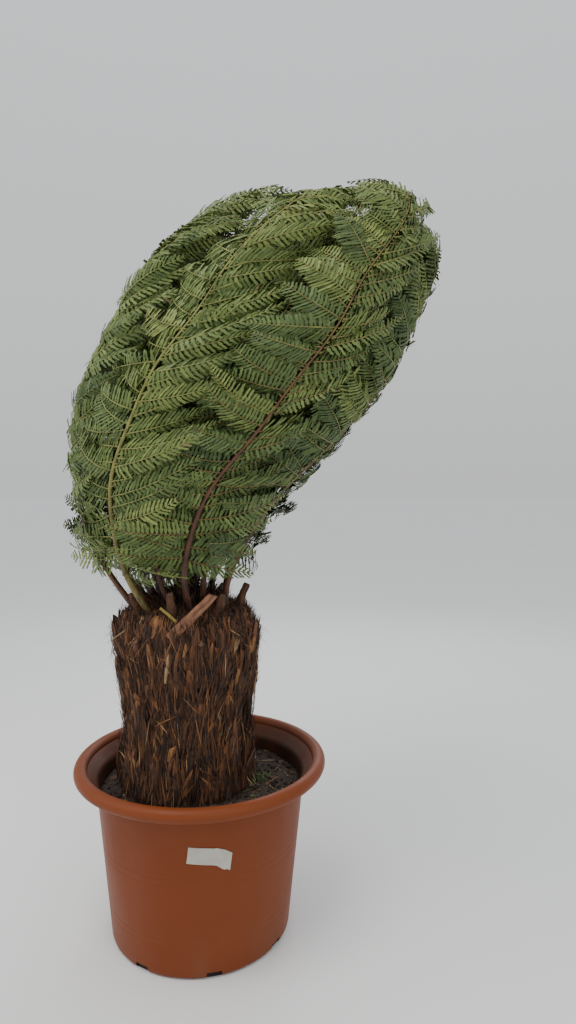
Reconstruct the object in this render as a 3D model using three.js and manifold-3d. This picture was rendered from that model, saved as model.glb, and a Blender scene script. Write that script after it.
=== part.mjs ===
// A tree fern in a plastic pot, in millimetres with +Z up.
// The origin is the centre of the pot's flat underside. The crown leans towards +X,
// and -Y is the plant's front.

import * as THREE from "three";
import { mergeVertices } from "three/addons/utils/BufferGeometryUtils.js";
import Module from "manifold-3d";

const wasm = await Module();
wasm.setup();

// Gap kept between pieces that rest on each other.
const CLEAR = 0.3;

// The pot: a tapered plastic tub with a rounded foot, which flares out to a rolled rim.
const POT_HEIGHT = 390;
const RIM_RADIUS = 290;
const RIM_ROLL = 15;
const WALL_TOP = 352;
const WALL_TOP_RADIUS = 241;
const WALL_FOOT_RADIUS = 205;
const WALL = 6;
const FLOOR = 8;
const FOOT_ROUND = 13;
const POT_SIDES = 36;
const NOTCHES = 8;
const NOTCH_WIDTH = 32;
const NOTCH_HEIGHT = 12;
const NOTCH_DEPTH = 8;
const NOTCH_TURN = THREE.MathUtils.degToRad(-75.5);

// The soil fills the pot to a little under the rim and has a shallow seat for the trunk.
const SOIL_TOP = 328;
const SOIL_CROWN = 7;
const SEAT_DEPTH = 14;

// The fibrous trunk widens towards its head, where the old stalk bases stand out.
const TRUNK_X = -34;
const TRUNK_FOOT_RADIUS = 148;
const TRUNK_FLARE = 6;
const TRUNK_WAIST_RADIUS = 141;
const TRUNK_WAIST = 490;
const TRUNK_SHOULDER_RADIUS = 158;
const TRUNK_SHOULDER = 655;
const TRUNK_HEAD = 752;
const TRUNK_SIDES = 48;
const TRUNK_ROWS = 32;
const RIDGE_HEIGHT = 4;

// Tufts of matted fibre overlap all over the trunk, in staggered rows.
const TUFTS_ROUND = 12;
const TUFT_FOOT = 310;
const TUFT_RISE = 56;
const TUFT_LENGTH = 92;
const TUFT_PROUD = 15;

// Cut stalk bases on the trunk's head, between the fronds.
const STUB_RADIUS = 11;
const STUB_LENGTH = 88;
const STUB_SPREAD = THREE.MathUtils.degToRad(24);

// One flat cut stalk leans to the right across the front of the head.
const FLAT_STUB_SIZE = [23, 9, 128];
const FLAT_STUB_PLACE = [-6, -134, 735];
const FLAT_STUB_LEAN = THREE.MathUtils.degToRad(43);
const FLAT_STUB_TILT = THREE.MathUtils.degToRad(-8);

// The crown is gathered upright: one envelope that widens, leans and closes in a dome.
const CROWN_FOOT = 712;
const CROWN_TOP = 1700;
const CROWN_FOOT_HALF_WIDTH = 108;
const CROWN_HALF_WIDTH = 360;
const CROWN_WAIST = 0.6;
const CROWN_OPENING = 1.3;
const CROWN_DOME = 4.5;
const CROWN_LEAN = 350;
const CROWN_LEAN_POWER = 1.6;
const CROWN_SAG = 60;
const CROWN_SAG_END = 0.7;
const CROWN_DEPTH_SHARE = 0.86;
const CROWN_TWIST = THREE.MathUtils.degToRad(26);

// Whorls of fronds, from the outside in. Each keeps to its own shell of the envelope.
const WHORLS = [
  { name: "outer", fronds: 7, turn: -72, width: 1, height: 1, pitch: 1, split: 0.56 },
  { name: "middle", fronds: 6, turn: -98, width: 0.68, height: 0.93, pitch: 1.1, split: 0.58 },
  { name: "inner", fronds: 5, turn: -60, width: 0.36, height: 0.86, pitch: 1.25, split: 0 },
];

// One frond: a stalk, then a rib with a leaflet on each side at every station.
const STALK = 122;
const STALK_IN = 1;
const STALK_STATIONS = [STALK_IN, 0.24 * STALK, 0.48 * STALK, 0.72 * STALK];
const RIB_WIDTH_FOOT = 17;
const RIB_WIDTH_TIP = 4;
const RIB_THICK_FOOT = 13;
const RIB_THICK_TIP = 4;
const LEAFLET_PITCH = 76;
const LEAFLET_PITCH_TIP = 0.62;
const LEAFLET_REACH = 170;
const LEAFLET_SWEEP = -0.12;
const LEAFLET_SWEEP_TIP = 0.72;
const LEAFLET_THICK = 2.6;
const LEAFLET_BELLY_SHARE = 0.74;
const LEAFLET_BELLY_AT = 0.5;
const LEAFLET_CURL = 22;
const LEAFLET_FLARE = 70;
const LEAFLET_FLARE_END = 0.3;
const FROND_GAP = 12;
const SPLICE = 8;
const FROND_ENDS = [0.955, 0.85, 0.965, 0.9, 0.935, 0.87, 0.945];
const FROND_FULLNESS = [1, 0.94, 0.985, 0.92, 0.97];

const POT_COLOUR = 0xb4603c;
const SOIL_COLOUR = 0x2c2119;
const TRUNK_COLOUR = 0x4a2a18;
const FROND_COLOURS = { outer: 0x6f8a3c, middle: 0x5f7d36, inner: 0x7d9a48 };

const group = new THREE.Group();

// Turns a closed three.js geometry into a solid for joining and cutting.
function solidOf(geometry) {
  const bare = geometry.clone();
  bare.deleteAttribute("normal");
  bare.deleteAttribute("uv");
  const merged = mergeVertices(bare, 1e-3);
  const corners = merged.index.array;
  const kept = [];
  for (let i = 0; i < corners.length; i += 3) {
    const [a, b, c] = corners.subarray(i, i + 3);
    if (a !== b && b !== c && c !== a) kept.push(a, b, c);
  }
  return new wasm.Manifold(
    new wasm.Mesh({
      numProp: 3,
      vertProperties: merged.attributes.position.array,
      triVerts: Uint32Array.from(kept),
    }),
  );
}

// Gives a joined or cut solid back as a three.js geometry.
function geometryOf(solid) {
  const mesh = solid.getMesh();
  const geometry = new THREE.BufferGeometry();
  geometry.setAttribute("position", new THREE.BufferAttribute(mesh.vertProperties, 3));
  geometry.setIndex(new THREE.BufferAttribute(mesh.triVerts, 1));
  geometry.computeVertexNormals();
  return geometry;
}

function place(name, geometry, color, roughness) {
  const material = new THREE.MeshStandardMaterial({ color, roughness, metalness: 0 });
  const mesh = new THREE.Mesh(geometry, material);
  mesh.name = name;
  group.add(mesh);
  return mesh;
}

// A lathe whose profile runs from the lower end of the axis to the upper one, turned to +Z.
function turned(profile, sides) {
  return new THREE.LatheGeometry(profile, sides).rotateX(Math.PI / 2);
}

function arcPoints(x, y, radius, from, to, steps) {
  const points = [];
  for (let i = 0; i <= steps; i += 1) {
    const angle = THREE.MathUtils.degToRad(from + ((to - from) * i) / steps);
    points.push(new THREE.Vector2(x + radius * Math.cos(angle), y + radius * Math.sin(angle)));
  }
  return points;
}

// Inner radius of the pot's wall at a height above the floor's rounded edge.
function innerRadius(z) {
  const rise = (z - FOOT_ROUND) / (WALL_TOP - FOOT_ROUND);
  return THREE.MathUtils.lerp(WALL_FOOT_RADIUS, WALL_TOP_RADIUS, rise) - WALL;
}

function makePot() {
  const rollX = RIM_RADIUS - RIM_ROLL;
  const rollZ = POT_HEIGHT - RIM_ROLL;
  const footX = WALL_FOOT_RADIUS - FOOT_ROUND;
  const profile = [
    new THREE.Vector2(0, 0),
    ...arcPoints(footX, FOOT_ROUND, FOOT_ROUND, -90, 0, 3),
    new THREE.Vector2(WALL_TOP_RADIUS, WALL_TOP),
    ...arcPoints(rollX, rollZ, RIM_ROLL, -105, 180, 8),
    new THREE.Vector2(innerRadius(WALL_TOP), WALL_TOP),
    new THREE.Vector2(innerRadius(FLOOR + FOOT_ROUND), FLOOR + FOOT_ROUND),
    new THREE.Vector2(innerRadius(FLOOR) - FOOT_ROUND / 2, FLOOR),
    new THREE.Vector2(0, FLOOR),
  ];
  let pot = solidOf(turned(profile, POT_SIDES));
  for (let i = 0; i < NOTCHES; i += 1) {
    const notch = new THREE.BoxGeometry(2 * NOTCH_DEPTH, NOTCH_WIDTH, 2 * NOTCH_HEIGHT);
    notch.translate(WALL_FOOT_RADIUS, 0, 0);
    notch.rotateZ(NOTCH_TURN + (i * 2 * Math.PI) / NOTCHES);
    pot = pot.subtract(solidOf(notch));
  }
  place("pot", geometryOf(pot), POT_COLOUR, 0.45);
}

function makeSoil() {
  const profile = [
    new THREE.Vector2(0, FLOOR + CLEAR),
    new THREE.Vector2(innerRadius(FLOOR) - FOOT_ROUND / 2 - CLEAR, FLOOR + CLEAR),
    new THREE.Vector2(innerRadius(FLOOR + FOOT_ROUND) - CLEAR, FLOOR + FOOT_ROUND + CLEAR),
    new THREE.Vector2(innerRadius(SOIL_TOP - SOIL_CROWN) - CLEAR, SOIL_TOP - SOIL_CROWN),
    new THREE.Vector2(TRUNK_FOOT_RADIUS + 45, SOIL_TOP),
    new THREE.Vector2(0, SOIL_TOP),
  ];
  const seatRadius = (TRUNK_FOOT_RADIUS + CLEAR) / Math.cos(Math.PI / POT_SIDES);
  const seat = new THREE.CylinderGeometry(seatRadius, seatRadius, 2 * SEAT_DEPTH, POT_SIDES);
  seat.rotateX(Math.PI / 2);
  seat.translate(TRUNK_X, 0, SOIL_TOP);
  const soil = solidOf(turned(profile, POT_SIDES)).subtract(solidOf(seat));
  place("soil", geometryOf(soil), SOIL_COLOUR, 1);
}

// Half width of the crown's envelope at a share of its height.
function crownHalfWidth(rise) {
  if (rise < CROWN_WAIST) {
    const share = Math.max(0, rise / CROWN_WAIST);
    const opened = Math.sin((Math.PI / 2) * share ** CROWN_OPENING);
    return THREE.MathUtils.lerp(CROWN_FOOT_HALF_WIDTH, CROWN_HALF_WIDTH, opened);
  }
  const closed = Math.min(1, (rise - CROWN_WAIST) / (1 - CROWN_WAIST));
  return CROWN_HALF_WIDTH * Math.sqrt(1 - closed ** CROWN_DOME);
}

// Where the envelope's centre line stands at a share of its height: it sags, then leans.
function crownCentre(rise) {
  const sag = Math.min(1, rise / CROWN_SAG_END);
  const sagShare = 6.75 * sag * (1 - sag) ** 2;
  return TRUNK_X + CROWN_LEAN * rise ** CROWN_LEAN_POWER - CROWN_SAG * sagShare;
}

// A point of a frond's shell. The step runs from 0 at the foot to 1 at the dome's top,
// slower near the top, where the shell turns level. Fronds stand out unequally, more so
// as they rise.
function shellPoint(frond, step, angle) {
  const rise = 1 - (1 - step) ** 2;
  const full = THREE.MathUtils.lerp(1, frond.fullness, rise);
  const halfWidth = frond.whorl.width * full * crownHalfWidth(rise);
  const height = frond.whorl.height * THREE.MathUtils.lerp(1, full, 0.4);
  return new THREE.Vector3(
    crownCentre(rise) + halfWidth * Math.cos(angle),
    CROWN_DEPTH_SHARE * halfWidth * Math.sin(angle),
    CROWN_FOOT + height * rise * (CROWN_TOP - CROWN_FOOT),
  );
}

function ribAngle(frond, step) {
  return frond.turn + CROWN_TWIST * (1 - (1 - step) ** 2) ** 2;
}

// Shell length that one radian covers at a place on the rib.
function arcRadius(frond, step) {
  const halfWidth = frond.whorl.width * crownHalfWidth(1 - (1 - step) ** 2);
  const angle = ribAngle(frond, step);
  return halfWidth * Math.hypot(Math.sin(angle), CROWN_DEPTH_SHARE * Math.cos(angle));
}

// Lengths along the rib at even steps, so that leaflets can be set out in millimetres.
function measureRib(frond, end) {
  const count = 160;
  const lengths = [0];
  let last = shellPoint(frond, 0, ribAngle(frond, 0));
  for (let i = 1; i <= count; i += 1) {
    const step = (end * i) / count;
    const next = shellPoint(frond, step, ribAngle(frond, step));
    lengths.push(lengths[i - 1] + next.distanceTo(last));
    last = next;
  }
  frond.length = lengths[count];
  frond.stepAt = (s) => {
    let i = 1;
    while (i < count && lengths[i] < s) i += 1;
    const share = (s - lengths[i - 1]) / (lengths[i] - lengths[i - 1]);
    return (end * (i - 1 + share)) / count;
  };
}

function ribWidth(frond, s) {
  return THREE.MathUtils.lerp(RIB_WIDTH_FOOT, RIB_WIDTH_TIP, s / frond.length);
}

function ribThickness(frond, s) {
  return THREE.MathUtils.lerp(RIB_THICK_FOOT, RIB_THICK_TIP, s / frond.length);
}

// How far leaflets may reach at a place on the rib before the next frond's sector begins.
function sectorReach(frond, s) {
  const step = frond.stepAt(Math.min(s, frond.length));
  return arcRadius(frond, step) * (Math.PI / frond.whorl.fronds) - FROND_GAP / 2;
}

// Forward slant of a leaflet: the lowest hang back a little, the last point to the tip.
function leafletSweep(frond, s) {
  const share = Math.min(1, (s - STALK) / (frond.length - STALK));
  return THREE.MathUtils.lerp(LEAFLET_SWEEP, LEAFLET_SWEEP_TIP, share);
}

// How far a leaflet's tip leaves the shell: the lowest flare out, the rest curl in.
function leafletCurl(frond, s) {
  const share = (s - STALK) / (frond.length - STALK) / LEAFLET_FLARE_END;
  return THREE.MathUtils.lerp(-LEAFLET_FLARE, LEAFLET_CURL, THREE.MathUtils.clamp(share, 0, 1));
}

// Leaflets stand edge to edge along the rib. Each one's reach follows the frond's outline
// and stays in the frond's sector from its root to its tip.
function layOutLeaflets(frond) {
  frond.leaflets = [];
  let from = STALK;
  let pitch = LEAFLET_PITCH * frond.whorl.pitch;
  while (from + 1.6 * pitch < frond.length) {
    const share = (from - STALK) / (frond.length - STALK);
    const outline = Math.sin(Math.PI * (0.16 + 0.84 * share) ** 0.8) ** 0.6;
    const wanted = Math.min(LEAFLET_REACH * outline, sectorReach(frond, from));
    const sweep = leafletSweep(frond, from);
    const reach = Math.min(wanted, sectorReach(frond, from + pitch + wanted * sweep));
    frond.leaflets.push({ from, to: from + pitch, reach, sweep });
    from += pitch;
    pitch = LEAFLET_PITCH * frond.whorl.pitch * THREE.MathUtils.lerp(1, LEAFLET_PITCH_TIP, share);
  }
}

// A point of the frond bent onto its shell: s along the rib, v across it and the face,
// 1 outside and -1 inside. The blade is thick at the rib and thin at its leaflets' tips,
// which curl inwards. Grown adds to each face.
function bladePoint(frond, s, v, face, grown) {
  const step = frond.stepAt(Math.min(s, frond.length));
  const past = Math.max(0, Math.abs(v) - ribWidth(frond, s) / 2 - grown);
  const thin = Math.min(1, past / (LEAFLET_REACH * LEAFLET_BELLY_AT));
  const thick = THREE.MathUtils.lerp(ribThickness(frond, s), LEAFLET_THICK, thin);
  const curl = leafletCurl(frond, s) * (past / LEAFLET_REACH) ** 2;
  const turn = ribAngle(frond, step) - v / arcRadius(frond, step);
  const on = shellPoint(frond, step, turn);
  const up = shellPoint(frond, step + 1e-3, turn).sub(on);
  const round = shellPoint(frond, step, turn + 1e-3).sub(on);
  const out = round.cross(up).normalize();
  return on.addScaledVector(out, face * (thick / 2 + grown) - curl);
}

// A stretch of frond as one closed sheet: the rib runs from station to station, and where
// a leaflet starts its outline stands out on both sides until the next station.
function bladeGeometry(frond, stations, grown) {
  const points = [];
  const faces = [];
  const pair = (s, v) => {
    points.push(bladePoint(frond, s, v, -1, grown), bladePoint(frond, s, v, 1, grown));
    return { inner: points.length - 2, outer: points.length - 1 };
  };
  const triangle = (a, b, c, side) => faces.push(...(side > 0 ? [a, b, c] : [a, c, b]));
  const sheet = (a, b, c, side) => {
    triangle(a.outer, b.outer, c.outer, side);
    triangle(a.inner, b.inner, c.inner, -side);
  };
  const wall = (a, b, side) => {
    triangle(a.outer, b.outer, b.inner, side);
    triangle(a.outer, b.inner, a.inner, side);
  };
  const rows = stations.map(({ s }) => {
    const half = s < frond.length ? ribWidth(frond, s) / 2 + grown : RIB_WIDTH_TIP / 4;
    return { right: pair(s, -half), left: pair(s, half) };
  });
  const addLeaflet = ({ from, to, reach, sweep }, low, high, side) => {
    const root = ribWidth(frond, from) / 2;
    const at = (share, place) => {
      const v = THREE.MathUtils.lerp(root, reach, share);
      return pair(THREE.MathUtils.lerp(from, to, place) + (v - root) * sweep, side * v);
    };
    const bellyLow = at(LEAFLET_BELLY_AT, 0.5 - LEAFLET_BELLY_SHARE / 2);
    const tip = at(1, 0.5);
    const bellyHigh = at(LEAFLET_BELLY_AT, 0.5 + LEAFLET_BELLY_SHARE / 2);
    sheet(low, high, bellyHigh, side);
    sheet(low, bellyHigh, bellyLow, side);
    sheet(bellyLow, bellyHigh, tip, side);
    wall(low, bellyLow, side);
    wall(bellyLow, tip, side);
    wall(tip, bellyHigh, side);
    wall(bellyHigh, high, side);
  };
  wall(rows[0].right, rows[0].left, 1);
  rows.slice(1).forEach((next, i) => {
    const row = rows[i];
    const { leaflet } = stations[i];
    sheet(row.right, next.right, next.left, 1);
    sheet(row.right, next.left, row.left, 1);
    if (leaflet) {
      addLeaflet(leaflet, row.left, next.left, 1);
      addLeaflet(leaflet, row.right, next.right, -1);
    } else {
      wall(row.left, next.left, 1);
      wall(row.right, next.right, -1);
    }
  });
  const last = rows[rows.length - 1];
  wall(last.right, last.left, -1);
  return new THREE.BufferGeometry().setFromPoints(points).setIndex(faces);
}

function makeFrond(whorl, number) {
  const turn = THREE.MathUtils.degToRad(whorl.turn + (number * 360) / whorl.fronds);
  const frond = { whorl, turn, fullness: FROND_FULLNESS[number % FROND_FULLNESS.length] };
  measureRib(frond, FROND_ENDS[(number * 3) % FROND_ENDS.length]);
  layOutLeaflets(frond);
  const name = `frond_${whorl.name}_${number + 1}`;
  const colour = FROND_COLOURS[whorl.name];
  const stalk = STALK_STATIONS.map((s) => ({ s }));
  const leafy = frond.leaflets.map((leaflet) => ({ s: leaflet.from, leaflet }));
  const last = frond.leaflets[frond.leaflets.length - 1];
  const end = [{ s: last.to }, { s: frond.length }];
  if (!whorl.split) {
    place(name, bladeGeometry(frond, [...stalk, ...leafy, ...end], 0), colour, 0.7);
    return frond;
  }
  const bend = leafy.findIndex(({ s }) => s > whorl.split * frond.length);
  const cut = leafy[bend].s;
  const lower = [...stalk, ...leafy.slice(0, bend), { s: cut }];
  const upper = [{ s: cut + CLEAR }, ...leafy.slice(bend), ...end];
  upper[1] = { s: cut + SPLICE, leaflet: { ...leafy[bend].leaflet, from: cut + SPLICE } };
  place(`${name}_lower`, bladeGeometry(frond, lower, 0), colour, 0.7);
  place(`${name}_upper`, bladeGeometry(frond, upper, 0), colour, 0.7);
  return frond;
}

// The pocket that a frond's stalk stands in: the stalk itself, grown by the clearance.
function stalkPocket(frond) {
  const stations = STALK_STATIONS.map((s, i) => ({ s: i ? s : s - CLEAR }));
  return solidOf(bladeGeometry(frond, stations, CLEAR));
}

// How far the fibre stands out at a place on the trunk: broad ridges, and on them tufts
// that swell upwards from their foot, end in a blunt lip and differ in size.
function fibreRelief(angle, z) {
  const ridges = Math.sin(5 * angle + z / 70) + 0.8 * Math.sin(9 * angle - z / 43);
  const top = Math.floor((z - TUFT_FOOT) / TUFT_RISE);
  let proud = 0;
  for (let row = top - 1; row <= top; row += 1) {
    const climb = (z - TUFT_FOOT - row * TUFT_RISE) / TUFT_LENGTH;
    const place = (angle / (2 * Math.PI)) * TUFTS_ROUND + 0.5 * (row % 2) + 0.2 * Math.sin(4 * row);
    const column = (Math.round(place) + TUFTS_ROUND) % TUFTS_ROUND;
    const across = 2 * (place - Math.round(place));
    const size = 0.72 + 0.28 * Math.sin(5 * column + 3 * row);
    const swell = Math.min(climb / 0.72, (1 - climb) / 0.28);
    proud = Math.max(proud, size * swell * (1 - across ** 2));
  }
  return RIDGE_HEIGHT * ridges + TUFT_PROUD * proud;
}

function makeTrunkCore() {
  const foot = SOIL_TOP - SEAT_DEPTH + CLEAR;
  const flare = new THREE.Vector2(TRUNK_FOOT_RADIUS + TRUNK_FLARE, SOIL_TOP + 14);
  const side = new THREE.SplineCurve([
    flare,
    new THREE.Vector2(TRUNK_WAIST_RADIUS, TRUNK_WAIST),
    new THREE.Vector2(TRUNK_SHOULDER_RADIUS, TRUNK_SHOULDER),
    new THREE.Vector2(0.9 * TRUNK_SHOULDER_RADIUS, TRUNK_SHOULDER + 62),
    new THREE.Vector2(0.55 * TRUNK_SHOULDER_RADIUS, TRUNK_HEAD - 8),
  ]).getSpacedPoints(TRUNK_ROWS);
  const profile = [
    new THREE.Vector2(0, foot),
    new THREE.Vector2(TRUNK_FOOT_RADIUS, foot),
    new THREE.Vector2(TRUNK_FOOT_RADIUS, SOIL_TOP + 1),
    ...side,
    new THREE.Vector2(0, TRUNK_HEAD),
  ];
  const geometry = turned(profile, TRUNK_SIDES);
  const position = geometry.attributes.position;
  for (let i = 0; i < position.count; i += 1) {
    const x = position.getX(i);
    const y = position.getY(i);
    const z = position.getZ(i);
    const radius = Math.hypot(x, y);
    if (z > SOIL_TOP + 2 && radius > 1) {
      const relief = fibreRelief(Math.atan2(y, x), z);
      position.setX(i, x * (1 + relief / radius));
      position.setY(i, y * (1 + relief / radius));
    }
  }
  return solidOf(geometry.translate(TRUNK_X, 0, 0));
}

// Old stalk bases, one in each gap between the outer fronds and one under each frond.
function stubs() {
  const made = [];
  const { fronds, turn } = WHORLS[0];
  for (let i = 0; i < 2 * fronds; i += 1) {
    const between = i % 2 === 1;
    const length = STUB_LENGTH * (between ? 0.8 + 0.07 * (i % 5) : 0.75);
    const spread = STUB_SPREAD * (between ? 1 : 1.5);
    const stub = new THREE.CylinderGeometry(0.7 * STUB_RADIUS, 1.3 * STUB_RADIUS, length, 6);
    stub.rotateX(Math.PI / 2);
    stub.translate(0, 0, 0.28 * length);
    stub.rotateY(spread);
    stub.translate(between ? 112 : 138, 0, between ? TRUNK_HEAD - 30 : TRUNK_SHOULDER - 12);
    stub.rotateZ(THREE.MathUtils.degToRad(turn + (180 * i) / fronds));
    made.push(solidOf(stub.translate(TRUNK_X, 0, 0)));
  }
  const flat = new THREE.BoxGeometry(...FLAT_STUB_SIZE);
  flat.rotateX(FLAT_STUB_TILT);
  flat.rotateY(FLAT_STUB_LEAN);
  made.push(solidOf(flat.translate(...FLAT_STUB_PLACE)));
  return made;
}

makePot();
makeSoil();
const fronds = WHORLS.flatMap((whorl) =>
  Array.from({ length: whorl.fronds }, (_, number) => makeFrond(whorl, number)),
);
let trunk = makeTrunkCore();
for (const stub of stubs()) trunk = trunk.add(stub);
for (const frond of fronds) trunk = trunk.subtract(stalkPocket(frond));
place("trunk", geometryOf(trunk), TRUNK_COLOUR, 0.95);

export default group;
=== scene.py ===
import math

import bmesh
import bpy
import numpy as np
from mathutils import Matrix, Vector, noise


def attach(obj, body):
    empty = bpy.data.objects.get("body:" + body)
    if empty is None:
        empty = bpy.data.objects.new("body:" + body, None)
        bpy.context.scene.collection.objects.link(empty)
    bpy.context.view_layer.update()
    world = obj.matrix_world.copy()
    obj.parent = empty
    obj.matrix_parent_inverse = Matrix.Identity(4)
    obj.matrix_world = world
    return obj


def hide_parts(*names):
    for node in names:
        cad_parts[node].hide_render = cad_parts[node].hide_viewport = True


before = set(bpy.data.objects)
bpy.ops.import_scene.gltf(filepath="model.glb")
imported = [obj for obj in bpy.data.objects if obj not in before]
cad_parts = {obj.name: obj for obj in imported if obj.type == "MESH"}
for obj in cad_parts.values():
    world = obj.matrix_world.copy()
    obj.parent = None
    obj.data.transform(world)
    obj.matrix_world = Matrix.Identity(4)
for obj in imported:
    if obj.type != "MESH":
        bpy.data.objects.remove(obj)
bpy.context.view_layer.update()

# The view. The plant stands on a plain pale floor in soft light from above, seen level
# from 1.6 m away, at the height of the crown's lower part and a little to its right.
CAMERA_PLACE = (0.203, -1.58, 1.025)
CAMERA_LENS = 23.52
CAMERA_SHIFT = -0.0283
CLIP_START = 0.05
LAMPS = {
    "lamp_above": ((-0.9, -1.5, 3.9), (0.1, 0, 0.9), 1.7, 66, (1.0, 0.985, 0.96)),
    "lamp_front": ((1.9, -2.8, 2.0), (0.1, 0, 0.8), 1.6, 16, (0.97, 0.985, 1.0)),
    "lamp_left": ((-3.0, -0.6, 1.9), (0.1, 0, 1.0), 1.4, 20, (1.0, 0.98, 0.95)),
    "lamp_back": ((0.6, 3.0, 2.6), (0.1, 0, 1.0), 1.8, 28, (0.97, 0.99, 1.0)),
}
FLOOR_SIDE = 80.0
SKY_FOOT = (0.76, 0.77, 0.775, 1)
SKY_TOP = (1.06, 1.09, 1.12, 1)
SKY_STRENGTH = 0.9

camera = bpy.data.objects.new("camera", bpy.data.cameras.new("camera"))
camera.data.lens = CAMERA_LENS
camera.data.shift_y = CAMERA_SHIFT
camera.data.clip_start = CLIP_START
camera.location = CAMERA_PLACE
camera.rotation_euler = (math.pi / 2, 0, 0)
bpy.context.collection.objects.link(camera)
bpy.context.scene.camera = camera

for name, (place, aim, side, power, colour) in LAMPS.items():
    lamp = bpy.data.objects.new(name, bpy.data.lights.new(name, "AREA"))
    lamp.data.shape = "SQUARE"
    lamp.data.size = side
    lamp.data.energy = power
    lamp.data.color = colour
    lamp.location = place
    lamp.rotation_euler = (Vector(aim) - Vector(place)).to_track_quat("-Z", "Y").to_euler()
    bpy.context.collection.objects.link(lamp)

world = bpy.data.worlds.new("daylight")
world.use_nodes = True
sky = world.node_tree
kinds = ("ShaderNodeTexCoord", "ShaderNodeSeparateXYZ", "ShaderNodeValToRGB")
direction, height, sky_ramp = (sky.nodes.new(kind) for kind in kinds)
sky_ramp.color_ramp.elements[0].color = SKY_FOOT
sky_ramp.color_ramp.elements[1].color = SKY_TOP
sky.links.new(direction.outputs["Generated"], height.inputs[0])
sky.links.new(height.outputs["Z"], sky_ramp.inputs[0])
sky.links.new(sky_ramp.outputs[0], sky.nodes["Background"].inputs["Color"])
sky.nodes["Background"].inputs["Strength"].default_value = SKY_STRENGTH
bpy.context.scene.world = world


class Field:
    """A value that varies over a surface. Sums on it add Math nodes to its finish."""

    def __init__(self, finish, socket):
        self.finish = finish
        self.socket = socket

    def maths(self, operation, first, second):
        return self.finish.node("ShaderNodeMath", {"operation": operation}, {0: first, 1: second})

    def __add__(self, other):
        return self.maths("ADD", self, other)

    def __sub__(self, other):
        return self.maths("SUBTRACT", self, other)

    def __rsub__(self, other):
        return self.maths("SUBTRACT", other, self)

    def __mul__(self, other):
        return self.maths("MULTIPLY", self, other)

    __radd__ = __add__
    __rmul__ = __mul__


class Finish:
    """One material: its Principled shader and the nodes that colour and roughen it."""

    def __init__(self, name, roughness=0.5):
        self.material = bpy.data.materials.new(name)
        self.material.use_nodes = True
        self.tree = self.material.node_tree
        self.shader = self.tree.nodes["Principled BSDF"]
        self.set("Roughness", roughness)
        self.place = self.node("ShaderNodeTexCoord", {}, {}, "Object")

    def node(self, kind, settings, sockets, output=0):
        made = self.tree.nodes.new(kind)
        for key, value in settings.items():
            if key == "stops":
                for spot, (position, level) in zip(made.color_ramp.elements, value):
                    spot.position = position
                    spot.color = (level, level, level, 1)
            else:
                setattr(made, key, value)
        for key, value in sockets.items():
            self.feed(made.inputs[key], value)
        return Field(self, made.outputs[output])

    def feed(self, socket, value):
        if isinstance(value, Field):
            self.tree.links.new(value.socket, socket)
        else:
            socket.default_value = value

    def set(self, name, value):
        self.feed(self.shader.inputs[name], value)

    def colour(self, share, first, second):
        self.set("Base Color", self.mix(share, first, second))

    def mottle(self, scale, detail=3.0, stretch=(1, 1, 1)):
        """A noise pattern. It runs long in a direction whose stretch is under 1."""
        settings = {"operation": "MULTIPLY"}
        place = self.node("ShaderNodeVectorMath", settings, {0: self.place, 1: stretch})
        return self.node("ShaderNodeTexNoise", {}, {"Vector": place, "Scale": scale, "Detail": detail})

    def ramp(self, field, low, high):
        return self.node("ShaderNodeValToRGB", {"stops": ((low, 0.0), (high, 1.0))}, {0: field})

    def patches(self, low, high, *pattern):
        return self.ramp(self.mottle(*pattern), low, high)

    def mix(self, share, first, second):
        first, second = ((*c, 1) if isinstance(c, tuple) else c for c in (first, second))
        return self.node("ShaderNodeMix", {"data_type": "RGBA"}, {0: share, 6: first, 7: second}, 2)

    def height(self):
        return self.node("ShaderNodeSeparateXYZ", {}, {0: self.place}, 2)

    def attribute(self, name):
        return self.node("ShaderNodeAttribute", {"attribute_name": name}, {}, "Fac")

    def bump(self, field, strength, distance):
        sockets = {"Strength": strength, "Distance": distance, "Height": field}
        self.set("Normal", self.node("ShaderNodeBump", {}, sockets))


def add_object(name, mesh, finishes):
    piece = bpy.data.objects.new(name, mesh)
    for finish in finishes:
        mesh.materials.append(finish.material)
    bpy.context.collection.objects.link(piece)
    return piece


def model(name, shape, finishes, smooth=False):
    """Makes an object of a finished bmesh."""
    mesh = bpy.data.meshes.new(name)
    shape.to_mesh(mesh)
    shape.free()
    if smooth:
        mesh.shade_smooth()
    return add_object(name, mesh, finishes)


floor_finish = Finish("floor_paint", 0.8)
floor_finish.colour(floor_finish.mottle(1.2), (0.78, 0.78, 0.77), (0.81, 0.81, 0.80))
shape = bmesh.new()
bmesh.ops.create_grid(shape, x_segments=2, y_segments=2, size=FLOOR_SIDE / 2)
model("floor", shape, [floor_finish])


# The pot is one moulded plastic tub. The wall tapers to a rounded foot with eight small
# drain notches, flares out to a rolled rim, and has two pairs of fine grooves round it.
POT_HEIGHT = 0.39
RIM_RADIUS = 0.29
RIM_ROLL = 0.015
WALL_TOP = 0.352
WALL_TOP_RADIUS = 0.241
WALL_FOOT_RADIUS = 0.205
WALL = 0.006
POT_FLOOR = 0.008
FOOT_ROUND = 0.013
CORNER_LENGTH = 0.009
GROOVES = (0.074, 0.089, 0.206, 0.222)
GROOVE_WIDTH = 0.0042
GROOVE_DEPTH = 0.0004
GROOVE_SHOULDER = 0.003
POT_STEPS = 180
NOTCHES = 8
NOTCH_WIDTH = 0.032
NOTCH_HEIGHT = 0.015
NOTCH_DEPTH = 0.008
NOTCH_CORNER = 0.002
NOTCH_TURN = math.radians(-75.5)
TERRACOTTA = (0.170, 0.037, 0.008)
TERRACOTTA_PALE = (0.198, 0.048, 0.012)
POT_DUST = (0.17, 0.095, 0.06)
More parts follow.
